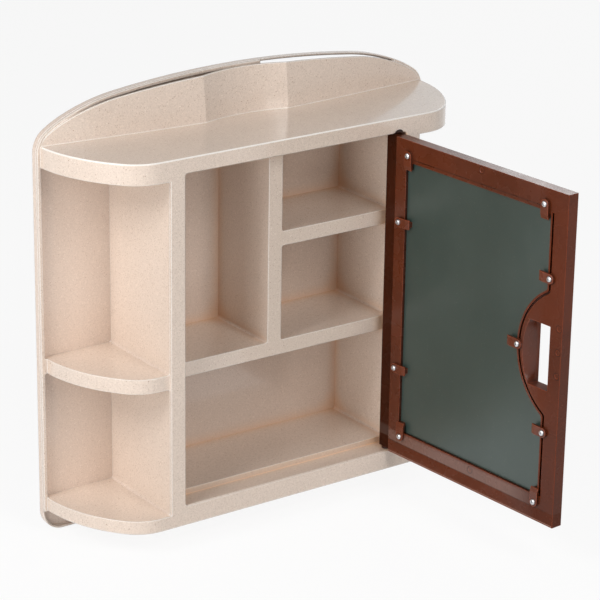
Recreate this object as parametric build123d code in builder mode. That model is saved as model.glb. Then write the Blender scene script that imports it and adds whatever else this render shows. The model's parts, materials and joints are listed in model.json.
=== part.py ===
from build123d import *
from math import cos, radians, sin
import os

os.makedirs("parts", exist_ok=True)

# Frame: X across, Y = 0 on the wall with the room at -Y, Z = 0 under the base board.

# Case
case_width = 530.0
case_depth = 131.0
slab_top = 435.0
arch_rise = 57.0
wall = 3.0
post_outer = 169.3
post_thickness = 19.3
shoulder_lead = 0.13
shoulder_share = 0.54
shoulder_turn = 48.0
shelf_setback = 3.3
edge_bevel = 1.2
corner_round = 3.0

# Boards and openings
header_thickness = 18.3
slab_end_thickness = 24.0
base_thickness = 16.4
sill_height = 24.4
bay_floor = 31.4
bay_recess = 26.1
board_thickness = 17.0
mid_shelf_top = 186.2
small_shelf_top = 317.5
divider_x = -13.0
divider_thickness = 18.3
strip_width = 4.0
strip_front = 11.0

# Rear panel
panel_thickness = 3.0
panel_drop = 27.0
foot_radius = 25.0
flange_depth = 7.5
flange_thickness = 2.0
fit_gap = 0.3
crown_turn = 7.5
haunch_turn = 16.5
hip_turn = 10.5
keyhole_height = 380.0
keyhole_radius = 4.6
keyhole_neck = 2.3
keyhole_travel = 11.0
slot_height = 7.0
slot_drop = 7.2
slot_near = 0.11
slot_far = 0.84

# Bowed splash board along the back of the top, with its niche
skin = 3.0
skin_drop = 3.0
niche_half = 56.5
splash_lean = 7.0
splash_middle_y = 21.5
splash_edge_y = 29.5
niche_base_y = 20.5
niche_top_y = 15.0
loft_margin = 4.0

# Door
door_open = 94.3
pivot_inset = 10.5
pivot_setback = 8.4
door_heel = 8.0
door_length = 288.0
door_bottom_gap = 2.3
door_top_gap = 1.2
door_outer = 5.5
door_land = 3.5
door_inner = 8.5
land_width = 21.5
bevel = 1.5
pin_radius = 2.5
pin_clearance = 0.05
bush_radius = 5.0
bush_height = 9.0
bush_flange = 6.5
knuckle_radius = 7.5
knuckle_sink = 3.0
boss_half = 10.5
catch_width = 7.0
catch_height = 16.0
catch_rise = 0.8

# Mirror window in the door
rail_hinge = 17.0
rail_free = 25.5
rail_top = 25.5
rail_bottom = 31.0
window_round = 5.0
seat_offset = 2.0
pane_thickness = 3.0
pane_gap = 0.4
lip = 5.0
ridge_width = 2.0
groove_width = 3.0
groove_depth = 3.5

# Handle lobe and finger slot
lobe_radius = 85.5
lobe_reach = 42.5
lobe_offset = 6.5
lobe_run = 10.0
slot_width = 27.9
slot_length = 76.0
slot_inset = 6.5
slot_offset = 4.5
scoop_bulge = 10.0
scoop_lip = 3.4

# Clips and screws
clip_width = 11.0
clip_length = 17.0
clip_thickness = 3.0
clip_pad = 5.0
clip_off = 7.8
clip_corner = 4.8
clip_sink = 4.6
clip_free = 5.0
clip_lobe = 3.0
clip_high = 0.777
clip_low = 0.236
pad_width = 6.0
screw_grip = 7.0
pin_grip = 12.0
pin_reach = 7.0
bearing_gap = 0.15
ejector_radius = 2.8
ejector_edge = 5.3
ejector_rise = 6.8
ejector_step = 27.5
ejector_share = 0.53
ejector_depth = 0.4
screw_radius = 1.4
head_radius = 3.3
head_height = 2.2
head_slope = 18.0
cross_length = 3.4
cross_width = 0.9
panel_screw_radius = 1.5
panel_head_radius = 3.4
panel_screw_length = 14.0
side_screw_inset = 30.0
screw_boss = 12.0
thread_gap = 0.05
thread_sides = 12
head_sides = 16
clip_sides = 24

# Derived sizes
half_width = case_width / 2
arch_top = slab_top + arch_rise
bay_half = post_outer - post_thickness
header_z = slab_top - header_thickness
shelf_y = case_depth - bay_recess
shelf_span = half_width - post_outer
shoulder_radius = shoulder_share * shelf_span
pivot_x = bay_half - pivot_inset
pivot_y = case_depth - pivot_setback
post_x = post_outer - post_thickness / 2
crown_radius = 2.35 * case_width
haunch_radius = 0.468 * case_width
hip_radius = 0.247 * case_width
hip_angle = crown_turn + haunch_turn + hip_turn
hip_x = (
    crown_radius * sin(radians(crown_turn))
    + haunch_radius * (sin(radians(crown_turn + haunch_turn)) - sin(radians(crown_turn)))
    + hip_radius * (sin(radians(hip_angle)) - sin(radians(crown_turn + haunch_turn)))
)
corner_radius = (half_width - hip_x) / (1 - sin(radians(hip_angle)))
core_width = post_thickness - 2 * wall
core_bottom = wall
core_top = slab_top - wall
rib = 9.0
rib_count = 2
row_height = (core_top - core_bottom - rib_count * rib) / (rib_count + 1)
rib_heights = [
    core_bottom + (i + 1) * row_height + (i + 0.5) * rib for i in range(rib_count)
]
side_screw_x = half_width - side_screw_inset
side_screw_heights = (base_thickness / 2, slab_top - slab_end_thickness / 2)
screw_spots = [(s * post_x, z) for s in (-1, 1) for z in rib_heights]
screw_spots += [(s * side_screw_x, z) for s in (-1, 1) for z in side_screw_heights]
compartments = [
    (-bay_half, divider_x - divider_thickness / 2, mid_shelf_top, header_z),
    (divider_x + divider_thickness / 2, bay_half, small_shelf_top, header_z),
    (divider_x + divider_thickness / 2, bay_half, mid_shelf_top, small_shelf_top - board_thickness),
    (-bay_half, bay_half, bay_floor, mid_shelf_top - board_thickness),
]
cores = [
    (s * post_x - core_width / 2, s * post_x + core_width / 2, z, z + row_height, case_depth - wall)
    for s in (-1, 1)
    for z in [core_bottom + i * (row_height + rib) for i in range(rib_count + 1)]
]
cores += [
    (-bay_half, bay_half, wall, bay_floor - wall, shelf_y - wall),
    (-bay_half, bay_half, wall, sill_height - wall, case_depth - wall),
    (-bay_half, bay_half, header_z + wall, core_top, case_depth - wall),
    (
        divider_x - divider_thickness / 2 + wall,
        divider_x + divider_thickness / 2 - wall,
        mid_shelf_top,
        header_z,
        shelf_y - wall,
    ),
    (
        -bay_half,
        bay_half,
        mid_shelf_top - board_thickness + wall,
        mid_shelf_top - wall,
        shelf_y - wall,
    ),
    (
        divider_x + divider_thickness / 2,
        bay_half,
        small_shelf_top - board_thickness + wall,
        small_shelf_top - wall,
        shelf_y - wall,
    ),
]
side_cores = [
    (wall, base_thickness - wall),
    (mid_shelf_top - board_thickness + wall, mid_shelf_top - wall),
    (slab_top - slab_end_thickness + wall, core_top),
]
side_levels = [
    (base_thickness, mid_shelf_top - board_thickness),
    (mid_shelf_top, slab_top - slab_end_thickness),
]

door_dir = (-cos(radians(door_open)), -sin(radians(door_open)), 0)
door_normal = (-sin(radians(door_open)), cos(radians(door_open)), 0)
door_plane = Plane(origin=(pivot_x, -pivot_y, 0), x_dir=door_dir, z_dir=door_normal)
door_bottom = sill_height + door_bottom_gap
door_top = header_z - door_top_gap
land_edge = land_width - door_heel
window_left = land_edge + rail_hinge
window_right = door_length - rail_free
window_bottom = door_bottom + rail_bottom
window_top = door_top - rail_top
lobe_z = (door_bottom + door_top) / 2 + lobe_offset
lobe_x = window_right - lobe_reach + lobe_radius
scoop_x = window_right - slot_inset
slot_low = lobe_z - slot_offset - slot_length / 2
slot_high = slot_low + slot_length
groove_start = lobe_x - lobe_radius - lobe_run
ejector_spots = [
    (door_length - ejector_edge, lobe_z + ejector_rise + i * ejector_step) for i in (-1, 0, 1)
]
ejector_x = window_left + ejector_share * (window_right - window_left)
ejector_spots += [(ejector_x, door_top - ejector_edge), (ejector_x, window_bottom - ejector_edge)]
pane_back = seat_offset + pane_thickness
head_taper = panel_head_radius - panel_screw_radius
catch_z = lobe_z
clip_top = window_top + clip_off
clip_upper = window_bottom + clip_high * (window_top - window_bottom)
clip_lower = window_bottom + clip_low * (window_top - window_bottom)
clip_spots = [
    (window_left + clip_corner, clip_top, -90),
    (window_left - clip_off, clip_upper, 0),
    (window_left - clip_off, clip_lower, 0),
    (window_left + clip_corner, window_bottom - clip_sink, 90),
    (window_right - clip_off, clip_top, -90),
    (window_right + clip_free, clip_upper, 180),
    (lobe_x - lobe_radius + clip_lobe, lobe_z, 180),
    (window_right + clip_free, clip_lower, 180),
    (window_right - clip_lobe, window_bottom - clip_off, 90),
]


def board_plan(inset):
    """Outline of a board seen from above: straight front, round ends, strips at the back."""
    corner = (post_outer + shoulder_lead * shelf_span, inset - case_depth)
    with BuildLine() as outline:
        front = Line((0, inset - case_depth), corner)
        shoulder = JernArc(front @ 1, front % 1, shoulder_radius - inset, shoulder_turn)
        tip = (half_width - strip_width - inset, -strip_front)
        end = TangentArc(shoulder @ 1, tip, tangent=shoulder % 1)
        step = Line(end @ 1, (half_width - inset, -strip_front))
        side = Line(step @ 1, (half_width - inset, 0))
        Line(side @ 1, (0, 0))
        mirror(about=Plane.YZ)
    return outline.edges()


def rim_outline(inset):
    """Arched outline of the rear panel, drawn in by inset."""
    with BuildLine() as outline:
        crown = JernArc((0, arch_top - inset), (1, 0), crown_radius - inset, -crown_turn)
        haunch = JernArc(crown @ 1, crown % 1, haunch_radius - inset, -haunch_turn)
        hip = JernArc(haunch @ 1, haunch % 1, hip_radius - inset, -hip_turn)
        corner = JernArc(hip @ 1, hip % 1, corner_radius - inset, hip_angle - 90)
        side = Line(corner @ 1, (half_width - inset, foot_radius - panel_drop))
        foot = JernArc(side @ 1, (0, -1), foot_radius - inset, -90)
        Line(foot @ 1, (0, inset - panel_drop))
        mirror(about=Plane.YZ)
    return outline.edges()


def splash_plan(draw_in, lean, niche_y):
    """Outline of the bowed splash from above: an arc on each side of a hollowed niche."""
    reach = half_width - strip_width - draw_in
    middle_x = (half_width - strip_width + niche_half) / 2
    end = strip_front - draw_in
    middle = splash_middle_y - lean / 2 - draw_in
    edge = splash_edge_y - lean - draw_in
    with BuildLine() as outline:
        back = Line((-reach, 0), (reach, 0))
        right = Line(back @ 1, (reach, -end))
        bow = ThreePointArc(right @ 1, (middle_x, -middle), (niche_half, -edge))
        niche = ThreePointArc(bow @ 1, (0, draw_in - niche_y), (-niche_half, -edge))
        other = ThreePointArc(niche @ 1, (-middle_x, -middle), (-reach, -end))
        Line(other @ 1, back @ 0)
    return outline.edges()


def window_outline(grow, mode=Mode.ADD):
    """Mirror window in the current sketch, grown all round, with the handle lobe cut in."""
    width = window_right - window_left + 2 * grow
    height = window_top - window_bottom + 2 * grow
    with Locations(((window_left + window_right) / 2, (window_bottom + window_top) / 2)):
        Rectangle(width, height)
    with Locations((lobe_x, lobe_z)):
        Circle(lobe_radius - grow, mode=Mode.SUBTRACT)


def span(low, high, bottom, top, mode=Mode.ADD):
    """Rectangle in the current sketch between two pairs of coordinates."""
    with Locations(((low + high) / 2, (bottom + top) / 2)):
        Rectangle(high - low, top - bottom, mode=mode)


# Border round the arch, left out in front of the slot
loft_rise = arch_rise + loft_margin
slot_ends = (slot_near * half_width, slot_far * half_width)
with BuildPart() as rim_band:
    with BuildSketch(Plane.XZ):
        make_face(rim_outline(-wall))
        make_face(rim_outline(strip_width), mode=Mode.SUBTRACT)
        span(-case_width, case_width, slab_top, 2 * arch_top, mode=Mode.INTERSECT)
        span(*slot_ends, slab_top, 2 * arch_top, mode=Mode.SUBTRACT)
    extrude(amount=strip_front)

# Solid behind the bowed splash face, deeper at its foot and leaning back to the rim
with BuildPart() as splash_body:
    with BuildSketch(Plane.XY.offset(slab_top)):
        make_face(splash_plan(0, 0, niche_base_y))
    with BuildSketch(Plane.XY.offset(slab_top + loft_rise)):
        make_face(splash_plan(0, splash_lean, niche_top_y))
    loft(ruled=True)
    with BuildSketch(Plane.XZ):
        make_face(rim_outline(skin_drop))
    extrude(amount=case_depth, mode=Mode.INTERSECT)

# Hollow behind the splash skin, open at the top
with BuildPart() as splash_hollow:
    with BuildSketch(Plane.XY.offset(slab_top)):
        make_face(splash_plan(skin, 0, niche_base_y))
    with BuildSketch(Plane.XY.offset(slab_top + loft_rise)):
        make_face(splash_plan(skin, splash_lean, niche_top_y))
    loft(ruled=True)
    add(rim_band.part, mode=Mode.SUBTRACT)

# Space over the top board, in front of the splash
with BuildPart() as over_slab:
    with BuildSketch(Plane.XY.offset(slab_top)):
        Rectangle(2 * case_width, 4 * case_depth)
    extrude(amount=loft_rise)
    add(splash_body.part, mode=Mode.SUBTRACT)
    add(rim_band.part, mode=Mode.SUBTRACT)

# Bevel along the front edge of the top board
with BuildPart() as slab_trim:
    with BuildSketch(Plane.XY.offset(slab_top - edge_bevel)):
        make_face(board_plan(-wall))
        Rectangle(2 * case_width, 2 * strip_front, mode=Mode.SUBTRACT)
    extrude(amount=2 * edge_bevel)
    with BuildSketch(Plane.XY.offset(slab_top - edge_bevel)):
        make_face(board_plan(0))
    with BuildSketch(Plane.XY.offset(slab_top + edge_bevel)):
        make_face(board_plan(2 * edge_bevel))
    loft(ruled=True, mode=Mode.SUBTRACT)

# Band trimmed off so that the open shelves stand back from the top board
shelf_rise = slab_top - slab_end_thickness - base_thickness
with BuildPart() as shelf_trim:
    with BuildSketch(Plane.XY.offset(base_thickness)):
        make_face(board_plan(-wall))
        make_face(board_plan(shelf_setback), mode=Mode.SUBTRACT)
        Rectangle(2 * (post_outer - fit_gap), 4 * case_depth, mode=Mode.SUBTRACT)
        Rectangle(2 * case_width, 2 * strip_front, mode=Mode.SUBTRACT)
    extrude(amount=shelf_rise)

# Front moulding: posts, boards, side strips and splash in one piece
with BuildPart() as body_shell:
    with BuildSketch(Plane.XZ.offset(flange_depth)):
        make_face(rim_outline(fit_gap))
    extrude(amount=case_depth)
    with BuildSketch(Plane.XZ.offset(panel_thickness)):
        make_face(rim_outline(flange_thickness + fit_gap))
    extrude(amount=flange_depth - panel_thickness)
    with BuildSketch(Plane.XY):
        make_face(board_plan(0))
    extrude(amount=arch_top, mode=Mode.INTERSECT)
    add(over_slab.part, mode=Mode.SUBTRACT)
    add(splash_hollow.part, mode=Mode.SUBTRACT)
    # Door recess and the compartments behind it
    with BuildSketch(Plane.XZ.offset(case_depth)) as bay:
        span(-bay_half, bay_half, sill_height, header_z)
        fillet(bay.vertices(), corner_round)
    extrude(amount=-bay_recess, mode=Mode.SUBTRACT)
    with BuildSketch(Plane.XZ.offset(shelf_y)) as cells:
        for low, high, bottom, top in compartments:
            span(low, high, bottom, top)
        fillet(cells.vertices(), corner_round)
    extrude(amount=-shelf_y, mode=Mode.SUBTRACT)
    # Open shelves at both ends, behind narrow side strips
    for side in (-1, 1):
        with BuildSketch(Plane.XZ.offset(case_depth)) as bays:
            for bottom, top in side_levels:
                far = side * case_width
                span(min(side * post_outer, far), max(side * post_outer, far), bottom, top)
            fillet(bays.vertices(), corner_round)
        extrude(amount=strip_front - case_depth, mode=Mode.SUBTRACT)
        with BuildSketch(Plane.XZ.offset(strip_front)) as backs:
            for bottom, top in side_levels:
                far = side * (half_width - strip_width)
                span(min(side * post_outer, far), max(side * post_outer, far), bottom, top)
            fillet(backs.vertices(), corner_round)
        extrude(amount=-strip_front, mode=Mode.SUBTRACT)
    add(shelf_trim.part, mode=Mode.SUBTRACT)
    # Broken front edges
    near_front = (-case_depth - fit_gap, fit_gap - case_depth)
    front_loop = body_shell.edges().filter_by_position(Axis.Y, *near_front)
    bay_loop = [e for e in front_loop if abs(e.center().X) < bay_half + fit_gap]
    bay_loop = [e for e in bay_loop if sill_height - fit_gap < e.center().Z < header_z + fit_gap]
    chamfer(bay_loop, length=edge_bevel)
    add(slab_trim.part, mode=Mode.SUBTRACT)
    rim = body_shell.edges().filter_by_position(Axis.Z, -fit_gap, fit_gap)
    chamfer([e for e in rim if e.center().Y < -case_depth / 3], length=edge_bevel)
    # Hollows inside the posts and boards, open to the back
    for low, high, bottom, top, reach in cores:
        with BuildSketch(Plane.XZ):
            span(low, high, bottom, top)
        extrude(amount=reach, mode=Mode.SUBTRACT)
    for bottom, top in side_cores:
        with BuildSketch(Plane.XY.offset(bottom)):
            make_face(board_plan(shelf_setback + wall))
            Rectangle(2 * (side_screw_x - screw_boss), 4 * case_depth, mode=Mode.INTERSECT)
            Rectangle(2 * post_outer, 4 * case_depth, mode=Mode.SUBTRACT)
        extrude(amount=top - bottom, mode=Mode.SUBTRACT)
    # Blocks that hold the hinge bushes, and the arched notch over the upper knuckle
    with BuildSketch(Plane.XY.offset(wall)):
        span(pivot_x - boss_half, bay_half, -pivot_y - bush_flange, boss_half - pivot_y)
    extrude(amount=sill_height - wall)
    with BuildSketch(Plane.XY.offset(header_z)):
        span(pivot_x - boss_half, bay_half, -pivot_y - bush_flange, boss_half - pivot_y)
    extrude(amount=core_top - header_z)
    with BuildSketch(Plane.XZ.offset(case_depth)):
        with Locations((pivot_x, header_z - knuckle_sink)):
            Circle(knuckle_radius)
    extrude(amount=pivot_y - bush_flange - case_depth, mode=Mode.SUBTRACT)
    with BuildSketch(Plane.XY.offset(header_z)):
        with Locations((pivot_x, -pivot_y)):
            Circle(bush_radius)
    extrude(amount=bush_height, mode=Mode.SUBTRACT)
    with BuildSketch(Plane.XY.offset(sill_height)):
        with Locations((pivot_x, -pivot_y)):
            Circle(bush_radius)
    extrude(amount=-bush_height, mode=Mode.SUBTRACT)
    # Seat for the door catch in the left wall of the recess
    with BuildSketch(Plane.YZ.offset(-bay_half - wall)):
        with Locations((-pivot_y, catch_z)):
            Rectangle(catch_width, catch_height)
    extrude(amount=wall, mode=Mode.SUBTRACT)
    # Pilot holes for the rear panel screws
    with BuildSketch(Plane.XZ):
        with Locations(*screw_spots):
            RegularPolygon(panel_screw_radius + thread_gap, thread_sides)
    extrude(amount=panel_screw_length + thread_gap, mode=Mode.SUBTRACT)
body_shell.part.label = "body_shell"
export_step(body_shell.part, "parts/body_shell.step")

# Rear panel: flat plate with a shallow rim all round, slot, keyholes and screw holes
with BuildPart() as rear_panel:
    with BuildSketch(Plane.XZ):
        make_face(rim_outline(0))
    extrude(amount=flange_depth)
    with BuildSketch(Plane.XZ.offset(panel_thickness)):
        make_face(rim_outline(flange_thickness))
    extrude(amount=flange_depth - panel_thickness, mode=Mode.SUBTRACT)
    with BuildSketch(Plane.XZ):
        make_face(rim_outline(slot_drop - slot_height / 2))
        make_face(rim_outline(slot_drop + slot_height / 2), mode=Mode.SUBTRACT)
        span(*slot_ends, slab_top, arch_top, mode=Mode.INTERSECT)
        with Locations((-post_x, keyhole_height), (post_x, keyhole_height)):
            Circle(keyhole_radius)
        with Locations(*[(s * post_x, keyhole_height + keyhole_travel / 2) for s in (-1, 1)]):
            SlotCenterToCenter(keyhole_travel, 2 * keyhole_neck, rotation=90)
    extrude(amount=panel_thickness, mode=Mode.SUBTRACT)
    with BuildSketch(Plane.XZ):
        with Locations(*screw_spots):
            RegularPolygon(panel_head_radius + thread_gap, thread_sides)
    extrude(amount=head_taper, taper=45, mode=Mode.SUBTRACT)
    with BuildSketch(Plane.XZ):
        with Locations(*screw_spots):
            RegularPolygon(panel_screw_radius + thread_gap, thread_sides)
    extrude(amount=panel_thickness, mode=Mode.SUBTRACT)
rear_panel.part.label = "rear_panel"
export_step(rear_panel.part, "parts/rear_panel.step")

# Countersunk screws that hold the rear panel
with BuildPart() as panel_screw:
    with BuildSketch(Plane.XZ):
        RegularPolygon(panel_head_radius, thread_sides)
    extrude(amount=head_taper, taper=45)
    with BuildSketch(Plane.XZ):
        RegularPolygon(panel_screw_radius, thread_sides)
    extrude(amount=panel_screw_length)
with BuildPart() as rear_panel_screws:
    with Locations(*[(x, 0, z) for x, z in screw_spots]):
        add(panel_screw.part)
rear_panel_screws.part.label = "rear_panel_screws"
export_step(rear_panel_screws.part, "parts/rear_panel_screws.step")

# Upper hinge bush: arched lug that fills the notch, with a sleeve up into the top board
with BuildPart() as hinge_bush_top:
    with BuildSketch(Plane.XZ.offset(pivot_y + bush_flange)):
        with Locations((pivot_x, header_z - knuckle_sink)):
            Circle(knuckle_radius)
        span(pivot_x - knuckle_radius, pivot_x + knuckle_radius, 0, header_z, mode=Mode.SUBTRACT)
    extrude(amount=-2 * bush_flange)
    with BuildSketch(Plane.XY.offset(header_z)):
        with Locations((pivot_x, -pivot_y)):
            Circle(bush_radius)
    extrude(amount=bush_height)
    with BuildSketch(Plane.XY.offset(header_z)):
        with Locations((pivot_x, -pivot_y)):
            Circle(pin_radius + pin_clearance)
    extrude(amount=bush_height - wall / 2, mode=Mode.SUBTRACT)
hinge_bush_top.part.label = "hinge_bush_top"
export_step(hinge_bush_top.part, "parts/hinge_bush_top.step")

# Lower hinge bush: it stands up from the sill and carries the door
with BuildPart() as hinge_bush_bottom:
    with BuildSketch(Plane.XY.offset(sill_height - bush_height)):
        with Locations((pivot_x, -pivot_y)):
            Circle(bush_radius)
    extrude(amount=bush_height + door_bottom_gap - bearing_gap)
    with BuildSketch(Plane.XY.offset(door_bottom - bearing_gap)):
        with Locations((pivot_x, -pivot_y)):
            Circle(pin_radius + pin_clearance)
    extrude(amount=bearing_gap - pin_reach - door_bottom_gap - wall / 2, mode=Mode.SUBTRACT)
hinge_bush_bottom.part.label = "hinge_bush_bottom"
export_step(hinge_bush_bottom.part, "parts/hinge_bush_bottom.step")

# Door catch: a plug in the recess wall with a low ridge
with BuildPart() as door_catch:
    with BuildSketch(Plane.YZ.offset(-bay_half - wall)):
        with Locations((-pivot_y, catch_z)):
            Rectangle(catch_width, catch_height)
    extrude(amount=wall)
    with BuildSketch(Plane.YZ.offset(-bay_half)):
        with Locations((-pivot_y, catch_z)):
            Rectangle(catch_width / 2, catch_height - 2 * catch_rise)
    extrude(amount=catch_rise)
door_catch.part.label = "door_catch"
export_step(door_catch.part, "parts/door_catch.step")

# Door frame: flat moulding with a stepped heel, bevelled face, mirror seat and handle lobe
with BuildPart() as door_frame:
    with BuildSketch(door_plane.offset(-door_outer)):
        span(-door_heel, door_length, door_bottom, door_top)
    extrude(amount=door_outer + door_land)
    with BuildSketch(door_plane.offset(door_land)):
        span(land_edge, door_length, door_bottom, door_top)
    extrude(amount=door_inner - door_land)
    # Groove that leaves a thin ridge beside the free rail and round the lobe
    with BuildSketch(door_plane.offset(door_inner)) as band:
        window_outline(ridge_width + groove_width)
        fillet(band.vertices(), window_round)
        span(groove_start, door_length, window_bottom, window_top, mode=Mode.INTERSECT)
    extrude(amount=-groove_depth, mode=Mode.SUBTRACT)
    with BuildSketch(door_plane.offset(door_inner)) as ridge:
        window_outline(ridge_width)
        fillet(ridge.vertices(), window_round)
        span(groove_start, door_length, window_bottom, window_top, mode=Mode.INTERSECT)
    extrude(amount=-groove_depth)
    with BuildSketch(door_plane.offset(door_inner)):
        with Locations(*[(u, v) for u, v, turn in clip_spots]):
            Circle(clip_width / 2)
    extrude(amount=-groove_depth)
    # Window: open to the front inside a lip, wider behind it where the mirror sits
    with BuildSketch(door_plane.offset(-door_outer)) as opening:
        window_outline(-lip)
        fillet(opening.vertices(), window_round)
    extrude(amount=door_outer + door_inner, mode=Mode.SUBTRACT)
    with BuildSketch(door_plane.offset(seat_offset)) as seat:
        window_outline(0)
        fillet(seat.vertices(), window_round)
    extrude(amount=door_inner, mode=Mode.SUBTRACT)
    # Finger slot with a scooped side for the fingertips
    with BuildSketch(door_plane.offset(-door_outer)):
        span(scoop_x - slot_width / 2, scoop_x + slot_width / 2, slot_low, slot_high)
    with BuildSketch(door_plane.offset(door_inner)):
        with BuildLine():
            right = Line((scoop_x + slot_width / 2, slot_low), (scoop_x + slot_width / 2, slot_high))
            top = Line(right @ 1, (scoop_x - slot_width / 2 - scoop_lip, slot_high))
            bulge = (scoop_x - slot_width / 2 - scoop_lip - scoop_bulge, (slot_low + slot_high) / 2)
            scoop = ThreePointArc(top @ 1, bulge, (scoop_x - slot_width / 2 - scoop_lip, slot_low))
            Line(scoop @ 1, right @ 0)
        make_face()
    loft(ruled=True, mode=Mode.SUBTRACT)
    # Bores for the hinge pins, screw holes and shallow ejector marks
    with BuildSketch(Plane.XY.offset(door_bottom)):
        with Locations((pivot_x, -pivot_y)):
            Circle(pin_radius)
    extrude(amount=pin_grip, mode=Mode.SUBTRACT)
    with BuildSketch(Plane.XY.offset(door_top)):
        with Locations((pivot_x, -pivot_y)):
            Circle(pin_radius)
    extrude(amount=-pin_grip, mode=Mode.SUBTRACT)
    with BuildSketch(door_plane.offset(door_inner)):
        with Locations(*[(u, v) for u, v, turn in clip_spots]):
            RegularPolygon(screw_radius + thread_gap, thread_sides)
    extrude(amount=-screw_grip - thread_gap, mode=Mode.SUBTRACT)
    with BuildSketch(door_plane.offset(door_inner)):
        with Locations(*ejector_spots):
            RegularPolygon(ejector_radius, head_sides)
    extrude(amount=-ejector_depth, mode=Mode.SUBTRACT)
door_frame.part.label = "door_frame"
export_step(door_frame.part, "parts/door_frame.step")

# Mirror pane, silvered side to the front
with BuildPart() as mirror_pane:
    with BuildSketch(door_plane.offset(seat_offset)) as pane:
        window_outline(-pane_gap)
        fillet(pane.vertices(), window_round)
    extrude(amount=pane_thickness)
mirror_pane.part.label = "mirror_pane"
export_step(mirror_pane.part, "parts/mirror_pane.step")

# Hinge pins, pressed into the door and free in the bushes
with BuildPart() as hinge_pin_top:
    with BuildSketch(Plane.XY.offset(door_top - pin_grip)):
        with Locations((pivot_x, -pivot_y)):
            Circle(pin_radius)
    extrude(amount=pin_grip + door_top_gap + pin_reach)
hinge_pin_top.part.label = "hinge_pin_top"
export_step(hinge_pin_top.part, "parts/hinge_pin_top.step")

with BuildPart() as hinge_pin_bottom:
    with BuildSketch(Plane.XY.offset(sill_height - pin_reach)):
        with Locations((pivot_x, -pivot_y)):
            Circle(pin_radius)
    extrude(amount=pin_reach + door_bottom_gap + pin_grip)
hinge_pin_bottom.part.label = "hinge_pin_bottom"
export_step(hinge_pin_bottom.part, "parts/hinge_pin_bottom.step")

# One mirror clip: round head under the screw, tongue with a pad that reaches down to the mirror
pad_drop = door_inner - pane_back
with BuildPart() as clip_form:
    with BuildSketch(Plane.XY):
        span(0, clip_length, -clip_width / 2, clip_width / 2)
        RegularPolygon(clip_width / 2, clip_sides)
    extrude(amount=clip_thickness)
    tip = clip_form.edges().filter_by(Axis.Y).group_by(Axis.Z)[-1].sort_by(Axis.X)[-1]
    chamfer(tip, length=clip_thickness / 2, length2=clip_pad)
    with BuildSketch(Plane.XY):
        span(clip_length - clip_pad, clip_length, -pad_width / 2, pad_width / 2)
    extrude(amount=-pad_drop)
    with BuildSketch(Plane.XY):
        RegularPolygon(screw_radius + thread_gap, thread_sides)
    extrude(amount=clip_thickness, mode=Mode.SUBTRACT)

for number, (u, v, turn) in enumerate(clip_spots, start=1):
    seat_place = door_plane.offset(door_inner).location * Location((u, v, 0), (0, 0, turn))
    with BuildPart() as mirror_clip:
        with Locations(seat_place):
            add(clip_form.part)
    mirror_clip.part.label = f"mirror_clip_{number}"
    export_step(mirror_clip.part, f"parts/mirror_clip_{number}.step")

# Pan-head screws with a cross recess, one through each clip
with BuildPart() as clip_screw:
    with BuildSketch(Plane.XY):
        RegularPolygon(head_radius, head_sides)
    extrude(amount=head_height, taper=head_slope)
    with BuildSketch(Plane.XY):
        RegularPolygon(screw_radius, thread_sides)
    extrude(amount=-screw_grip - clip_thickness)
    with BuildSketch(Plane.XY.offset(head_height)):
        Rectangle(cross_length, cross_width)
        Rectangle(cross_width, cross_length)
    extrude(amount=-head_height / 2, mode=Mode.SUBTRACT)
with BuildPart() as clip_screws:
    for u, v, turn in clip_spots:
        with Locations(door_plane.offset(door_inner + clip_thickness).location * Location((u, v, 0))):
            add(clip_screw.part)
clip_screws.part.label = "clip_screws"
export_step(clip_screws.part, "parts/clip_screws.step")
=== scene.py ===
import bpy
import bmesh
import json
from functools import reduce
from math import cos, pi, radians, sin
from mathutils import Matrix, Vector


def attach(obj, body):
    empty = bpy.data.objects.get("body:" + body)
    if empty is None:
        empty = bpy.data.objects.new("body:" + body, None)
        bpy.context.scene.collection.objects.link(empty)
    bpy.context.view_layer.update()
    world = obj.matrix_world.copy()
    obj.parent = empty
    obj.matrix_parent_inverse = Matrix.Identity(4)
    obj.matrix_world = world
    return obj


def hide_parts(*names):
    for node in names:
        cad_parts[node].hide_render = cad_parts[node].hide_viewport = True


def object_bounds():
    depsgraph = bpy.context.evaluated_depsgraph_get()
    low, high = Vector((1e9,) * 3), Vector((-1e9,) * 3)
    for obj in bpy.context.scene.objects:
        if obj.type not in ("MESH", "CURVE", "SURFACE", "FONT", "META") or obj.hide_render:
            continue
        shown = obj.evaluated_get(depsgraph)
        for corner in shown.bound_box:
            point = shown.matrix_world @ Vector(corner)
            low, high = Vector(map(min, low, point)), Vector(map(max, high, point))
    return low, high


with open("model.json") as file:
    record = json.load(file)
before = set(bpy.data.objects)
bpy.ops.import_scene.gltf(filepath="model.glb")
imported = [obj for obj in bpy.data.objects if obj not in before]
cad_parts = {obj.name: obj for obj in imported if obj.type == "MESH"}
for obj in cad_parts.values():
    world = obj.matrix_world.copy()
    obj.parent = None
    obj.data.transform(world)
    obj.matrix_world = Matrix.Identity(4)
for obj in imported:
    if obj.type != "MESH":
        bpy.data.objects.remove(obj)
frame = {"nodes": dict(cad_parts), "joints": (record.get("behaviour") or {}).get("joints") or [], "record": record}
cad_low, cad_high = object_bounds()
nodes = frame["nodes"]

MM = 0.001

# Case sizes of part.py, in millimetres
POST_MIDDLE = 159.65
HEADER_UNDERSIDE = 416.7
# Top of the painted corner glow, just above the header's underside
PAINTED_BOUNCE_TOP = HEADER_UNDERSIDE + 1.0
SLAB_TOP = 435.0
EDGE_BEVEL = 1.2
STRIP_DEPTH = 14.0

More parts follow.
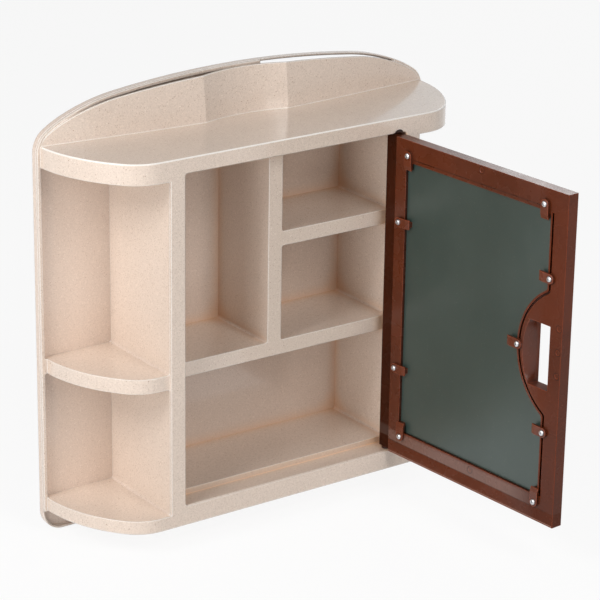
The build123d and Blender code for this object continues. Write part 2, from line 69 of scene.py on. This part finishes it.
# Door sizes of part.py, in millimetres along the door from its hinge and up from the origin
DOOR_LENGTH = 288.0
DOOR_BOTTOM, DOOR_TOP = 26.7, 415.5
HEEL_EDGE = 13.5
WINDOW_LEFT, WINDOW_RIGHT = 30.5, 262.5
WINDOW_BOTTOM, WINDOW_TOP = 57.7, 390.0
SLOT_LEFT, SLOT_RIGHT = 240.0, 270.5
SLOT_LOW, SLOT_HIGH = 185.1, 261.1

# Fine marks on the door's back: its slope and rough slot, with painted shade lines, a painted highlight line and a
# painted sheen
HEEL_SOFTNESS = 0.4
LEDGE_HEIGHT = WINDOW_TOP + 4.2
LEDGE_LEFT, LEDGE_RIGHT = WINDOW_LEFT + 11.0, WINDOW_RIGHT - 3.0
SLOPE_TOP = DOOR_BOTTOM + 16.0
SLOPE_RATE = 0.06
FOLD_END = DOOR_LENGTH - 12.0
LIP_HEIGHT = DOOR_BOTTOM + 1.6
LIP_END = DOOR_LENGTH - 1.0
RAIL_SHEEN_FADE = 50.0
SLOT_MARGIN = 1.0

# Rings of painted shade round the shallow ejector marks of the solid: three on the free rail, one above, one below
RING_RADIUS = 4.0
RING_INSET = 5.3
RING_DROP = 7.0
RAIL_MIDDLE = 153.5
FREE_RAIL_HEIGHTS = (206.9, 234.4, 261.9)
RING_SPOTS = [(DOOR_LENGTH - RING_INSET, height) for height in FREE_RAIL_HEIGHTS]
RING_SPOTS += [(RAIL_MIDDLE, DOOR_TOP - RING_INSET), (RAIL_MIDDLE, WINDOW_BOTTOM - RING_DROP)]

# The door's place at rest: its hinge, the way along it and the way its back faces. It stands
# open by as much as the joint's lower limit, which closes it.
hinge = frame["joints"][0]
PIVOT = Vector(hinge["pos_m"])
DOOR_OPEN = radians(-hinge["range_deg"][0])
DOOR_ALONG = Vector((-cos(DOOR_OPEN), -sin(DOOR_OPEN), 0.0))
DOOR_BACK = Vector((-sin(DOOR_OPEN), cos(DOOR_OPEN), 0.0))

# Display colours
CREAM = (226, 208, 193)
CATCH_CREAM = (214, 196, 180)
ROSY = (214, 172, 156)
PAINTED_BOUNCE_TONE = (234, 188, 148)
PAINTED_EDGE_HIGHLIGHT = (255, 250, 244)
PAINTED_WARM_HIGHLIGHT = (255, 206, 156)
BROWN_SPECK = (180, 150, 131)
PALE_SPECK = (242, 230, 217)
FRAME_BROWN = (95, 42, 20)
CLIP_BROWN = (106, 50, 28)
BUSH_BROWN = (66, 28, 15)
PIN_BROWN = (72, 34, 20)
DUST = (128, 84, 68)
RAIL_SHEEN_TONE = (150, 128, 118)
LIP_HIGHLIGHT_TONE = (172, 132, 116)
BACK_PAINT = (55, 68, 63)
BACK_PAINT_PALE = (60, 73, 68)
PAINT_SPECK = (88, 98, 92)
SILVER = (232, 236, 235)
GLASS_EDGE = (120, 150, 138)
ZINC_DARK = (196, 198, 202)
ZINC_PALE = (222, 223, 225)
FLOOR_DARK = (246, 246, 246)
FLOOR_PALE = (250, 250, 250)

# Mottle of the cream plastic: grains per metre, noise where one starts and is full, step of tone
GRAINS = ((620.0, 0.35, 0.75, -24), (410.0, 0.5, 0.8, 14))
GRAIN_STRENGTH = 0.6

# Specks: cells per metre, largest radius in cells, share of the cells that hold one
FINE_SPECKS = (560.0, 0.40, 0.50)
BROWN_SPECKS = (470.0, 0.30, 0.17)
PALE_SPECKS = (640.0, 0.34, 0.12)
DUST_SPECKS = (700.0, 0.28, 0.05)
PAINT_SPECKS = (600.0, 0.3, 0.08)

# How far the painted corner glow and the painted corner shade reach and how far edges are rounded off, in metres
PAINTED_BOUNCE_REACH, SHADE_REACH = 0.028, 0.022
CREAM_ROUNDING, BROWN_ROUNDING = 0.0018, 0.0009


def srgb(red, green, blue):
    """Linear colour of a 0-255 display colour."""
    out = []
    for value in (red, green, blue):
        value /= 255.0
        out.append(value / 12.92 if value <= 0.04045 else ((value + 0.055) / 1.055) ** 2.4)
    return (*out, 1.0)


def moved(tone, *steps):
    """Linear colour of a display colour moved by a step for each channel."""
    return srgb(*[channel + step for channel, step in zip(tone, steps)])


def scaled(tone, share):
    """Linear colour of a display colour times a share."""
    return srgb(*[min(channel * share, 255) for channel in tone])


class Nodes:
    """Short-hand for building the node tree of a material or the world."""

    def __init__(self, owner, output="ShaderNodeOutputMaterial"):
        self.owner = owner
        owner.use_nodes = True
        self.tree = owner.node_tree
        self.tree.nodes.clear()
        self.output = self.tree.nodes.new(output)

    def feed(self, socket, value):
        """Link a socket to another one, or give it a plain value."""
        if isinstance(value, bpy.types.NodeSocket):
            self.tree.links.new(value, socket)
        else:
            socket.default_value = value

    def add(self, kind, inputs=None, **settings):
        node = self.tree.nodes.new(kind)
        for key, value in settings.items():
            setattr(node, key, value)
        for key, value in (inputs or {}).items():
            self.feed(node.inputs[key], value)
        return node

    def place(self):
        """Point on the piece, in metres in the shared frame at rest."""
        return self.add("ShaderNodeTexCoord").outputs["Object"]

    def math(self, operation, a, b=0.0, clamp=False):
        node = self.add("ShaderNodeMath", {0: a, 1: b}, operation=operation, use_clamp=clamp)
        return node.outputs[0]

    def product(self, *values):
        return reduce(lambda a, b: self.math("MULTIPLY", a, b), values)

    def largest(self, *values):
        return reduce(lambda a, b: self.math("MAXIMUM", a, b), values)

    def between(self, value, low, high):
        above = self.math("GREATER_THAN", value, low)
        return self.product(above, self.math("LESS_THAN", value, high))

    def dot(self, a, b):
        node = self.add("ShaderNodeVectorMath", {0: a, 1: b}, operation="DOT_PRODUCT")
        return node.outputs["Value"]

    def ramp(self, value, low, high, to_low=0.0, to_high=1.0):
        """Smooth step from to_low to to_high as value goes from low to high."""
        inputs = {"From Min": low, "From Max": high, "To Min": to_low, "To Max": to_high}
        node = self.add("ShaderNodeMapRange", inputs, interpolation_type="SMOOTHSTEP")
        self.feed(node.inputs["Value"], value)
        return node.outputs["Result"]

    def line(self, value, centre, core, edge, strength):
        """Line where value is near centre: full within core, gone beyond edge."""
        off = self.math("ABSOLUTE", self.math("SUBTRACT", value, centre))
        return self.ramp(off, core, edge, strength, 0.0)

    def mix(self, factor, a, b):
        node = self.add("ShaderNodeMix", {0: factor}, data_type="RGBA")
        self.feed(node.inputs[6], a)
        self.feed(node.inputs[7], b)
        return node.outputs[2]

    def mix_shaders(self, factor, a, b):
        return self.add("ShaderNodeMixShader", {0: factor, 1: a, 2: b}).outputs[0]

    def noise(self, scale, detail=2.0, roughness=0.5):
        node = self.add(
            "ShaderNodeTexNoise",
            {"Vector": self.place(), "Scale": scale, "Detail": detail, "Roughness": roughness},
        )
        return node.outputs["Fac"]

    def cloud(self, scale, detail, low=0.0, high=1.0, roughness=0.5):
        """Soft blotches that run from low to high over the middle of the noise's range."""
        return self.ramp(self.noise(scale, detail, roughness), 0.3, 0.7, low, high)

    def specks(self, scale, radius, share):
        """Mask of round specks: one cell in some, each with its own size."""
        cell = self.add(
            "ShaderNodeTexVoronoi",
            {"Vector": self.place(), "Scale": scale, "Randomness": 1.0},
            voronoi_dimensions="3D",
        )
        pick = self.add("ShaderNodeSeparateColor", {"Color": cell.outputs["Color"]}).outputs
        size = self.math("MULTIPLY", pick["Green"], radius)
        dot = self.math("LESS_THAN", cell.outputs["Distance"], size)
        return self.product(dot, self.math("LESS_THAN", pick["Red"], share))

    def openness(self, distance):
        """Share of the surroundings within distance that a point is open to."""
        node = self.add("ShaderNodeAmbientOcclusion", {"Distance": distance}, samples=8)
        return node.outputs["AO"]

    def bump(self, height, strength, distance, under=None):
        """Normal of a surface with this height, laid over the normal under it if there is one."""
        inputs = {"Height": height, "Strength": strength, "Distance": distance}
        if under is not None:
            inputs["Normal"] = under
        return self.add("ShaderNodeBump", inputs).outputs["Normal"]

    def rounded(self, radius):
        """Normal that rounds the edges off, and a mask of the narrow band where it does."""
        # Cosine of the turn between the two normals where the mask is full and where it ends
        full, gone = 0.88, 0.998
        soft = self.add("ShaderNodeBevel", {"Radius": radius}, samples=6).outputs["Normal"]
        plain = self.add("ShaderNodeNewGeometry").outputs["Normal"]
        return soft, self.ramp(self.dot(soft, plain), full, gone, 1.0, 0.0)

    def shader(self, colour, roughness, normal=None, **sockets):
        inputs = {"Base Color": colour, "Roughness": roughness}
        if normal is not None:
            inputs["Normal"] = normal
        inputs.update({key.replace("_", " "): value for key, value in sockets.items()})
        return self.add("ShaderNodeBsdfPrincipled", inputs).outputs["BSDF"]

    def finish(self, surface):
        self.feed(self.output.inputs["Surface"], surface)
        return self.owner


def material_nodes(name):
    """Empty node tree of a new material."""
    return Nodes(bpy.data.materials.new(name))


def painted_corner_bounce(n, across, height):
    """Mask of the corners inside the compartments, where a warm glow of bounced light is painted."""
    between_posts = n.math("LESS_THAN", n.math("ABSOLUTE", across), POST_MIDDLE * MM)
    under_slab = n.math("LESS_THAN", height, PAINTED_BOUNCE_TOP * MM)
    corner = n.ramp(n.openness(PAINTED_BOUNCE_REACH), 0.34, 0.80, 1.0, 0.0)
    return n.product(corner, between_posts, under_slab)


def slab_lip_highlight(n, depth, height):
    """Mask of the bevel along the top board's front edge, where a painted highlight goes."""
    bevel = EDGE_BEVEL * MM
    line = n.line(height, SLAB_TOP * MM - bevel / 2, 0.4 * bevel, 0.5 * bevel, 1.0)
    return n.product(line, n.math("LESS_THAN", depth, -STRIP_DEPTH * MM))


def speckled_plastic(name, tone, rosy=0.0):
    """Cream moulded plastic with a fine mottle and small specks, with a painted warm glow deep in its corners and
    painted highlights along its edges.
    """
    n = material_nodes(name)
    colour = n.mix(n.cloud(7.0, 3.0), srgb(*tone), moved(tone, -3, -3, -3))
    for scale, start, full, step in GRAINS:
        mottle = n.ramp(n.noise(scale, 2.0, 0.6), start, full, 0.0, GRAIN_STRENGTH)
        colour = n.mix(mottle, colour, moved(tone, step, step, step))
    colour = n.mix(n.specks(*FINE_SPECKS), colour, moved(tone, -26, -30, -32))
    colour = n.mix(n.specks(*BROWN_SPECKS), colour, srgb(*BROWN_SPECK))
    colour = n.mix(n.specks(*PALE_SPECKS), colour, srgb(*PALE_SPECK))
    colour = n.mix(rosy, colour, srgb(*ROSY))

    across, depth, height = n.add("ShaderNodeSeparateXYZ", {"Vector": n.place()}).outputs
    # Painted light: a warm glow of bounced light in the corners inside the compartments
    painted_glow = painted_corner_bounce(n, across, height)
    colour = n.mix(n.product(painted_glow, 0.65), colour, srgb(*PAINTED_BOUNCE_TONE))
    # Painted highlights: paler lines along the edges and the top board's front bevel, warm within the painted
    # corner glow
    rounded, edge_highlight = n.rounded(CREAM_ROUNDING)
    edge_highlight = n.largest(edge_highlight, slab_lip_highlight(n, depth, height))
    colour = n.mix(n.product(edge_highlight, 0.9), colour, n.mix(painted_glow, srgb(*PAINTED_EDGE_HIGHLIGHT), srgb(*PAINTED_WARM_HIGHLIGHT)))

    normal = n.bump(n.noise(160.0), 0.06, 0.0006, rounded)
    gloss = n.cloud(35.0, 3.0, 0.21, 0.27)
    plastic = n.shader(colour, gloss, normal, IOR=1.5, Coat_Weight=0.8, Coat_Roughness=0.09)
    return n.finish(plastic)


class DoorMarksAndShade:
    """Masks for the frame's fine marks and its painted shade, highlight and sheen, by distance along the door and
    height, in millimetres.
    """

    def __init__(self, n):
        self.n = n
        place = n.place()
        offset = n.add("ShaderNodeVectorMath", {0: place, 1: tuple(PIVOT)}, operation="SUBTRACT")
        self.along = n.dot(offset.outputs["Vector"], tuple(DOOR_ALONG / MM))
        height = n.add("ShaderNodeSeparateXYZ", {0: place}).outputs["Z"]
        self.height = n.math("DIVIDE", height, MM)

    def ledge_shade(self):
        """Painted shade line of a thin step along the top rail, just above the mirror."""
        line = self.n.line(self.height, LEDGE_HEIGHT, 0.0, 0.9, 0.8)
        return self.n.product(line, self.n.between(self.along, LEDGE_LEFT, LEDGE_RIGHT))

    def past_heel(self, before, after):
        """Value that goes from before to after where the heel's band ends."""
        low, high = HEEL_EDGE - HEEL_SOFTNESS, HEEL_EDGE + HEEL_SOFTNESS
        return self.n.ramp(self.along, low, high, before, after)

    def heel(self):
        """Band beside the hinge, set back from the rail and always in its shade."""
        return self.past_heel(0.55, 0.0)

    def slope(self):
        """Height of the slope along the lower half of the bottom rail."""
        below = self.n.math("SUBTRACT", SLOPE_TOP, self.height)
        return self.n.math("MULTIPLY", below, SLOPE_RATE, clamp=True)

    def fold_shade(self):
        """Painted shade: thin dark line in the crease where the slope begins."""
        line = self.n.line(self.height, SLOPE_TOP, 0.1, 0.8, 0.45)
        return self.n.product(line, self.n.math("LESS_THAN", self.along, FOLD_END))

    def lip_highlight(self):
        """Painted highlight: thin pale line along the foot of the slope."""
        line = self.n.line(self.height, LIP_HEIGHT, 0.2, 0.8, 0.6)
        return self.n.product(line, self.n.between(self.along, HEEL_EDGE, LIP_END))

    def painted_rail_sheen(self):
        """Upper half of the bottom rail, paler and greyer: a painted sheen."""
        above_slope = self.n.ramp(self.height, SLOPE_TOP - 1.0, SLOPE_TOP + 1.0, 0.0, 0.3)
        under_window = self.n.ramp(self.height, WINDOW_BOTTOM - 4.0, WINDOW_BOTTOM, 1.0, 0.0)
        fading = self.n.ramp(self.along, WINDOW_RIGHT - RAIL_SHEEN_FADE, WINDOW_RIGHT, 1.0, 0.0)
        return self.n.product(fading, above_slope, under_window)

    def sheen(self):
        """Specular level, lower in the heel's shade and along the free rail."""
        free_rail = self.n.ramp(self.along, SLOT_LEFT, WINDOW_RIGHT, 0.5, 0.22)
        return self.n.math("MINIMUM", self.past_heel(0.1, 0.5), free_rail)

    def rings(self):
        """Painted shade: faint dark rings round the marks that the ejector pins left."""
        rings = []
        for along, up in RING_SPOTS:
            squares = []
            for value, centre in ((self.along, along), (self.height, up)):
                squares.append(self.n.math("POWER", self.n.math("SUBTRACT", value, centre), 2.0))
            away = self.n.math("SQRT", self.n.math("ADD", *squares))
            rings.append(self.n.line(away, RING_RADIUS, 0.1, 0.9, 0.6))
        return self.n.largest(*rings)

    def in_slot(self):
        """Inside of the finger slot, left rough by the mould."""
        low, high = SLOT_LOW - SLOT_MARGIN, SLOT_HIGH + SLOT_MARGIN
        inside = self.n.between(self.along, SLOT_LEFT, SLOT_RIGHT)
        return self.n.product(inside, self.n.between(self.height, low, high))


def moulded_brown(name, tone, gloss_low=0.22, gloss_high=0.32, marked=False):
    """Dark red-brown moulded plastic with faint flow marks, painted shade in its corners and painted highlights
    along its edges.
    """
    flowed, shaded, highlight_tone, shade_tone = [scaled(tone, share) for share in (0.86, 0.3, 1.9, 0.25)]
    n = material_nodes(name)
    colour = n.mix(n.cloud(14.0, 4.0), srgb(*tone), flowed)
    colour = n.mix(n.specks(*DUST_SPECKS), colour, srgb(*DUST))
    # Painted shade in the corners and round the clips
    colour = n.mix(n.ramp(n.openness(SHADE_REACH), 0.35, 0.95, 0.75, 0.0), colour, shaded)
    # Painted highlight: paler lines along the edges
    rounded, edge_highlight = n.rounded(BROWN_ROUNDING)
    colour = n.mix(n.product(edge_highlight, 0.6), colour, highlight_tone)
    normal = n.bump(n.noise(220.0, 3.0), 0.06, 0.0004, rounded)
    gloss = n.cloud(45.0, 3.0, gloss_low, gloss_high)
    level = 0.5
    if marked:
        marks_and_shade = DoorMarksAndShade(n)
        # Painted sheen on the upper half of the bottom rail
        colour = n.mix(marks_and_shade.painted_rail_sheen(), colour, srgb(*RAIL_SHEEN_TONE))
        # Painted highlight along the foot of the slope
        colour = n.mix(marks_and_shade.lip_highlight(), colour, srgb(*LIP_HIGHLIGHT_TONE))
        # Painted shade: the heel's band, the lines at the ledge and the fold, and the rings
        shade = n.largest(marks_and_shade.heel(), marks_and_shade.ledge_shade(), marks_and_shade.fold_shade(), marks_and_shade.rings())
        colour = n.mix(shade, colour, shade_tone)
        normal = n.bump(marks_and_shade.slope(), 1.0, 0.005, normal)
        gloss = n.largest(gloss, n.product(marks_and_shade.in_slot(), 0.65))
        level = marks_and_shade.sheen()
    return n.finish(n.shader(colour, gloss, normal, IOR=1.46, Specular_IOR_Level=level))


def backed_mirror(name):
    """Silvered front, green-grey backing paint behind and greenish edges."""
    n = material_nodes(name)
    plain = n.add("ShaderNodeTexCoord").outputs["Normal"]
    towards, square_on = n.dot(plain, tuple(DOOR_BACK)), 0.5
    back = n.math("GREATER_THAN", towards, square_on)
    front = n.math("LESS_THAN", towards, -square_on)
    paint = n.mix(n.cloud(12.0, 5.0, roughness=0.6), srgb(*BACK_PAINT), srgb(*BACK_PAINT_PALE))
    paint = n.mix(n.specks(*PAINT_SPECKS), paint, srgb(*PAINT_SPECK))
    roller = n.bump(n.noise(900.0, 2.0, 0.6), 0.10, 0.0002)
    painted = n.shader(paint, 0.28, roller, IOR=1.6)
    silver = n.shader(srgb(*SILVER), 0.015, Metallic=1.0)
    edge = n.shader(srgb(*GLASS_EDGE), 0.2, IOR=1.52)
    return n.finish(n.mix_shaders(front, n.mix_shaders(back, edge, painted), silver))


def bright_zinc(name):
    """Plated steel with a fine grain."""
    n = material_nodes(name)
    colour = n.mix(n.cloud(900.0, 3.0), srgb(*ZINC_DARK), srgb(*ZINC_PALE))
    gloss = n.cloud(1500.0, 2.0, 0.2, 0.34)
    grain = n.bump(n.noise(2200.0), 0.08, 0.0001)
    return n.finish(n.shader(colour, gloss, grain, Metallic=1.0))


def floor_finish(name):
    """Pale floor that reads white from the camera and still takes soft shadows."""
    n = material_nodes(name)
    path = n.add("ShaderNodeLightPath").outputs
    seen = n.largest(path["Is Camera Ray"], path["Is Glossy Ray"], path["Is Transmission Ray"])
    self_lit = n.product(seen, 0.9)
    tone = n.mix(n.noise(2.0, 3.0), srgb(*FLOOR_DARK), srgb(*FLOOR_PALE))
    matt = n.shader(tone, 0.9)
    white = n.add("ShaderNodeEmission", {"Color": (1, 1, 1, 1), "Strength": 1.0}).outputs[0]
    return n.finish(n.mix_shaders(self_lit, matt, white))


finishes = {
    "cream_shell": speckled_plastic("cream_shell_finish", CREAM),
    "cream_panel": speckled_plastic("cream_panel_finish", CREAM, rosy=0.10),
    "brown_frame": moulded_brown("brown_frame_finish", FRAME_BROWN, marked=True),
    "brown_clip": moulded_brown("brown_clip_finish", CLIP_BROWN),
    "brown_bush": moulded_brown("brown_bush_finish", BUSH_BROWN, 0.35, 0.5),
    "pin_plastic": moulded_brown("pin_finish", PIN_BROWN, 0.35, 0.5),
    "catch_plastic": speckled_plastic("catch_finish", CATCH_CREAM),
    "mirror": backed_mirror("mirror_finish"),
    "screw_steel": bright_zinc("screw_finish"),
}
slot_of = {part["node"]: part["material_slot"] for part in frame["record"]["subparts"]}
for name, node in nodes.items():
    node.data.materials.clear()
    node.data.materials.append(finishes[slot_of[name]])


def island_tops(node, axis):
    """Middle of the face that lies farthest along axis on each separate solid of a CAD node."""
    weld, flat = 1e-6, 2e-5
    form = bmesh.new()
    form.from_mesh(node.data)
    bmesh.ops.remove_doubles(form, verts=form.verts, dist=weld)
    left = set(form.verts)
    tops = []
    while left:
        found, edge = set(), [left.pop()]
        while edge:
            vert = edge.pop()
            found.add(vert)
            near = {e.other_vert(vert) for e in vert.link_edges} & left
            left -= near
            edge.extend(near)
        reach = max(v.co.dot(axis) for v in found)
        face = [v.co for v in found if v.co.dot(axis) > reach - flat]
        tops.append(sum(face, Vector()) / len(face))
    form.free()
    return sorted(tops, key=lambda top: (round(top.z, 4), round(top.y, 4), round(top.x, 4)))


def lathe(profile, sides=40):
    """Mesh turned about Z from radius and height pairs in millimetres, closed at both ends."""
    form = bmesh.new()
    ends = [form.verts.new((0, 0, height * MM)) for height in (profile[0][1], profile[-1][1])]
    rings = []
    turns = [2 * pi * i / sides for i in range(sides)]
    for radius, height in profile:
        ring = [(radius * cos(turn) * MM, radius * sin(turn) * MM, height * MM) for turn in turns]
        rings.append([form.verts.new(point) for point in ring])
    for i in range(sides):
        j = (i + 1) % sides
        form.faces.new((ends[0], rings[0][j], rings[0][i]))
        form.faces.new((ends[1], rings[-1][i], rings[-1][j]))
        for low_ring, high_ring in zip(rings, rings[1:]):
            form.faces.new((low_ring[i], low_ring[j], high_ring[j], high_ring[i]))
    mesh = bpy.data.meshes.new("turned")
    form.to_mesh(mesh)
    form.free()
    return mesh


def cross_cutter(length, width, top, depth):
    """Two tapered bars that cross, the shape of a screwdriver's tip."""
    taper, overlap = 0.45, 0.3
    form = bmesh.new()
    for long_x, long_y in ((length, width), (width, length)):
        bar = bmesh.ops.create_cube(form, size=1.0)["verts"]
        for vert in bar:
            upper = vert.co.z > 0
            shrink = 1.0 if upper else taper
            height = top + overlap if upper else top - depth
            wide, deep = vert.co.x * long_x * shrink, vert.co.y * long_y * shrink
            vert.co = Vector((wide, deep, height)) * MM
    mesh = bpy.data.meshes.new("cross")
    form.to_mesh(mesh)
    form.free()
    return mesh


def screw_mesh(profile, cross_length, cross_width, cross_depth):
    """Turned screw with a cross recess cut into its head."""
    body = bpy.data.objects.new("screw_body", lathe(profile))
    cross = cross_cutter(cross_length, cross_width, profile[-1][1], cross_depth)
    cutter = bpy.data.objects.new("screw_cutter", cross)
    for part in (body, cutter):
        bpy.context.scene.collection.objects.link(part)
    cut = body.modifiers.new("cross", "BOOLEAN")
    cut.operation, cut.solver, cut.object, cut.use_self = "DIFFERENCE", "EXACT", cutter, True
    depsgraph = bpy.context.evaluated_depsgraph_get()
    mesh = bpy.data.meshes.new_from_object(body.evaluated_get(depsgraph))
    for part in (body, cutter):
        bpy.data.objects.remove(part)
    return mesh


def fit_screws(name, node_name, body, axis, mesh):
    """Detailed screws where the CAD node has its plain ones, each turned a different way."""
    turn_step = 2.4  # radians
    form = bmesh.new()
    lay = Vector((0, 0, 1)).rotation_difference(axis).to_matrix().to_4x4()
    for number, top in enumerate(island_tops(nodes[node_name], axis)):
        first = len(form.verts)
        form.from_mesh(mesh)
        form.verts.ensure_lookup_table()
        turned = Matrix.Rotation(number * turn_step, 4, "Z")
        placed = Matrix.Translation(top) @ lay @ turned
        bmesh.ops.transform(form, matrix=placed, verts=form.verts[first:])
    screws = bpy.data.meshes.new(name)
    form.to_mesh(screws)
    form.free()
    screws.shade_smooth()
    screws.set_sharp_from_angle(angle=radians(32))
    screws.materials.append(finishes["screw_steel"])
    piece = bpy.data.objects.new(name, screws)
    bpy.context.scene.collection.objects.link(piece)
    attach(piece, body)
    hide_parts(node_name)


# Radius and height of each ring in millimetres, the head's top at zero
PAN_HEAD = (
    (1.4, -12.2), (1.4, -2.2), (3.3, -2.2), (3.3, -1.55), (3.18, -1.05),
    (2.85, -0.6), (2.3, -0.27), (1.6, -0.08), (0.8, 0.0),
)
FLAT_HEAD = ((1.5, -14.0), (1.5, -1.9), (3.25, -0.15), (3.4, 0.0), (1.0, 0.0))
pan_screw = screw_mesh(PAN_HEAD, cross_length=3.9, cross_width=0.95, cross_depth=1.3)
flat_screw = screw_mesh(FLAT_HEAD, cross_length=4.2, cross_width=1.0, cross_depth=1.4)
fit_screws("clip_pan_screws", "clip_screws", "door", DOOR_BACK, pan_screw)
fit_screws("panel_flat_screws", "rear_panel_screws", "cabinet", Vector((0, 1, 0)), flat_screw)

# Camera at the photograph's place, with its focal length and shift in pixels of the photograph
IMAGE_WIDTH = 600.0
FOCAL_LENGTH = 2556.5
SHIFT_X, SHIFT_Y = -0.3, -7.7
CAMERA_PLACE = Vector((-1584.8, -2342.4, 1239.5)) * MM
CAMERA_AIM = Vector((49.6, -67.8, 222.3)) * MM
CAMERA_ROLL = radians(0.89)
forward = (CAMERA_AIM - CAMERA_PLACE).normalized()
level = forward.cross(Vector((0, 0, 1))).normalized()
above = level.cross(forward)
right = level * cos(CAMERA_ROLL) + above * sin(CAMERA_ROLL)
up = above * cos(CAMERA_ROLL) - level * sin(CAMERA_ROLL)
lens = bpy.data.cameras.new("camera")
lens.sensor_width = 36.0
lens.lens = FOCAL_LENGTH / IMAGE_WIDTH * lens.sensor_width
lens.shift_x, lens.shift_y = SHIFT_X / IMAGE_WIDTH, SHIFT_Y / IMAGE_WIDTH
lens.clip_start, lens.clip_end = 0.05, 50.0
camera = bpy.data.objects.new("camera", lens)
facing = Matrix((right, up, -forward)).transposed()
camera.matrix_world = Matrix.Translation(CAMERA_PLACE) @ facing.to_4x4()
bpy.context.scene.collection.objects.link(camera)
bpy.context.scene.camera = camera

# Square soft boxes, by place in metres and power in watts: two on the cabinet's left, two in
# front, one behind on the right
LAMP_SIZE = 0.9
LAMP_TARGET = Vector((0, -0.1, 0.2))
LAMPS = {
    "left_low": ((-2.1, -0.8, 0.5), 15.3),
    "left_high": ((-1.8, -0.3, 1.7), 26.8),
    "front_mid": ((0.2, -2.4, 1.1), 11.3),
    "front_high": ((0.0, -2.0, 2.0), 18.6),
    "back_right": ((2.49, 1.83, 1.85), 13.0),
}
for name, (place, power) in LAMPS.items():
    data = bpy.data.lights.new(name, "AREA")
    data.shape, data.size, data.energy = "SQUARE", LAMP_SIZE, power
    lamp = bpy.data.objects.new(name, data)
    lamp.location = place
    lamp.rotation_euler = (LAMP_TARGET - Vector(place)).to_track_quat("-Z", "Y").to_euler()
    bpy.context.scene.collection.objects.link(lamp)

# World: white to the camera and through glass, pale in reflections and faint as light
AMBIENT, MIRRORED, WHITE = 0.024, 0.8, 1.0
world = bpy.data.worlds.new("studio")
bpy.context.scene.world = world
sky = Nodes(world, "ShaderNodeOutputWorld")
ambient, mirrored, white = [
    sky.add("ShaderNodeBackground", {"Color": (1, 1, 1, 1), "Strength": strength}).outputs[0]
    for strength in (AMBIENT, MIRRORED, WHITE)
]
path = sky.add("ShaderNodeLightPath").outputs
shown = sky.largest(path["Is Camera Ray"], path["Is Transmission Ray"])
unseen = sky.mix_shaders(path["Is Glossy Ray"], ambient, mirrored)
sky.finish(sky.mix_shaders(shown, unseen, white))

# Floor, just under the cabinet
FLOOR_SIZE = 12.0
FLOOR_GAP = 1.5 * MM
bpy.ops.mesh.primitive_plane_add(size=FLOOR_SIZE, location=(0, 0, cad_low[2] - FLOOR_GAP))
floor = bpy.context.object
floor.name = "floor"
floor.data.materials.append(floor_finish("floor_finish"))

bpy.context.scene.view_settings.view_transform = "Standard"
